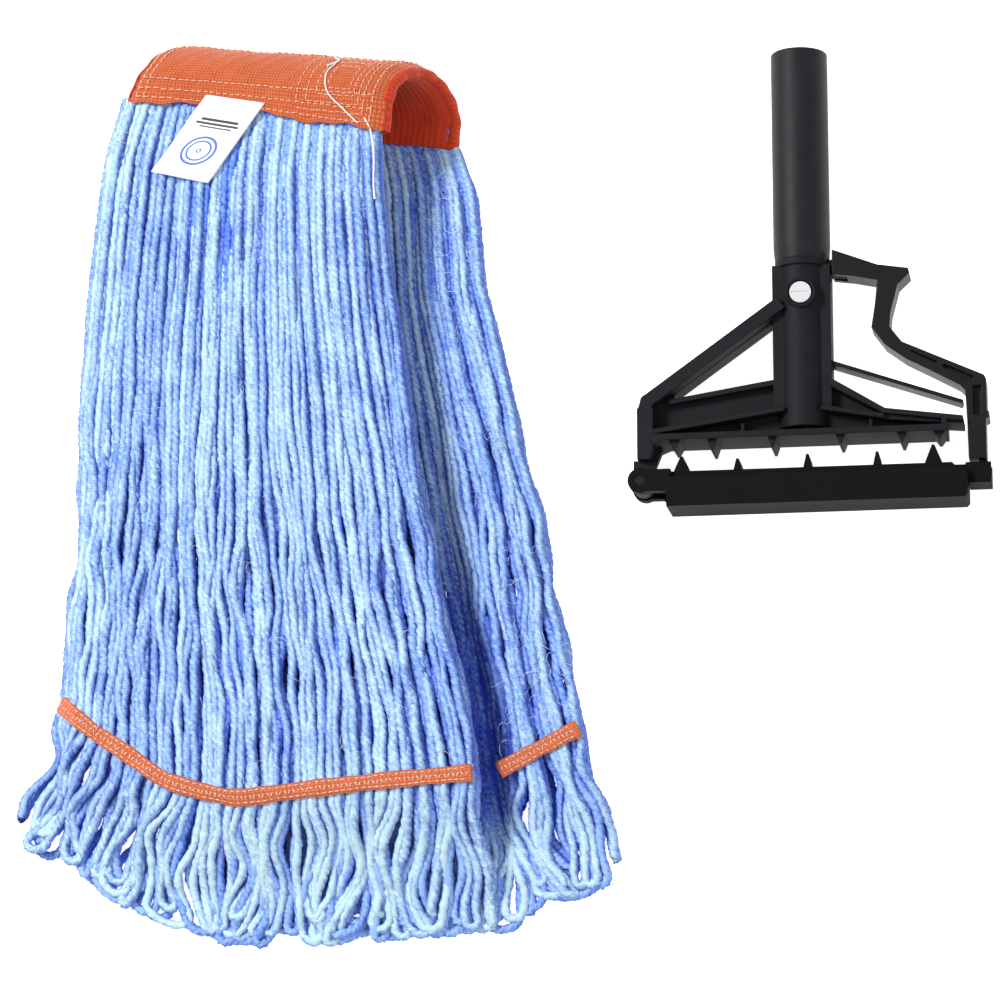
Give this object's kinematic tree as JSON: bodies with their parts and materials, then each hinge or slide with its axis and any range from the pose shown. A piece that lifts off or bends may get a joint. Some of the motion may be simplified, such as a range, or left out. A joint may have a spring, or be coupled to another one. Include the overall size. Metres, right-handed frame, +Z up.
{
  "type": "string mop",
  "caption": "Looped-end string mop head with a folded woven headband and tail bands, beside its quick-change side-latch jaw clamp with a handle sleeve.",
  "frame": {"origin": "on the floor under the middle of the whole set", "axes": "+Z up from the floor, +X along the jaws from the mop head to the clamp, +Y along the handle sleeve towards its mouth"},
  "size_m": [0.496, 0.4607, 0.0568],
  "materials": {
    "clamp_plastic": "fine satin moulding",
    "sleeve_plastic": "satin",
    "jaw_plastic": "satin",
    "latch_plastic": "semi-gloss",
    "bolt_steel": "bright zinc",
    "pin_steel": "dark",
    "dark_washer": "gloss",
    "band_mesh": "open woven mesh tape",
    "yarn_blue": "plied blended yarn",
    "sewing_thread": "twisted thread",
    "tail_tape": "woven tape",
    "label_cloth": "printed woven label"
  },
  "bodies": {
    "mop_head": {"headband_outer_tape": "band_mesh", "headband_yarn": "yarn_blue", "headband_inner_tape": "band_mesh", "headband_stitching": "sewing_thread", "front_yarn": "yarn_blue", "front_fringe": "yarn_blue", "back_yarn": "yarn_blue", "back_fringe": "yarn_blue", "front_tail_tape_upper": "tail_tape", "front_tail_tape_lower": "tail_tape", "back_tail_tape_upper": "tail_tape", "back_tail_tape_lower": "tail_tape", "label": "label_cloth", "loose_thread": "sewing_thread"},
    "clamp": {"clamp_frame": "clamp_plastic", "handle_sleeve": "sleeve_plastic", "latch_leaf": "clamp_plastic", "handle_bolt": "bolt_steel", "bolt_washer": "dark_washer", "bolt_nut": "bolt_steel", "jaw_pin": "pin_steel", "latch_pin": "pin_steel"},
    "lower_jaw": {"lower_jaw": "jaw_plastic"},
    "side_latch": {"side_latch": "latch_plastic"}
  },
  "joints": [
    {"name": "clamp_lift_off", "type": "slide", "parent": "mop_head", "child": "clamp", "axis": [0, 0, 1], "range_m": [0, 0.12]},
    {"name": "jaw_hinge", "type": "hinge", "parent": "clamp", "child": "lower_jaw", "pos_m": [0.075, -0.0058, 0.01425], "axis": [0, 0, 1], "range_deg": [-80, 0]},
    {"name": "latch_hinge", "type": "hinge", "parent": "clamp", "child": "side_latch", "pos_m": [0.177, 0.1017, 0.01425], "axis": [0, 0, 1], "range_deg": [0, 4], "stiffness_Nm_per_rad": 1.5}
  ]
}
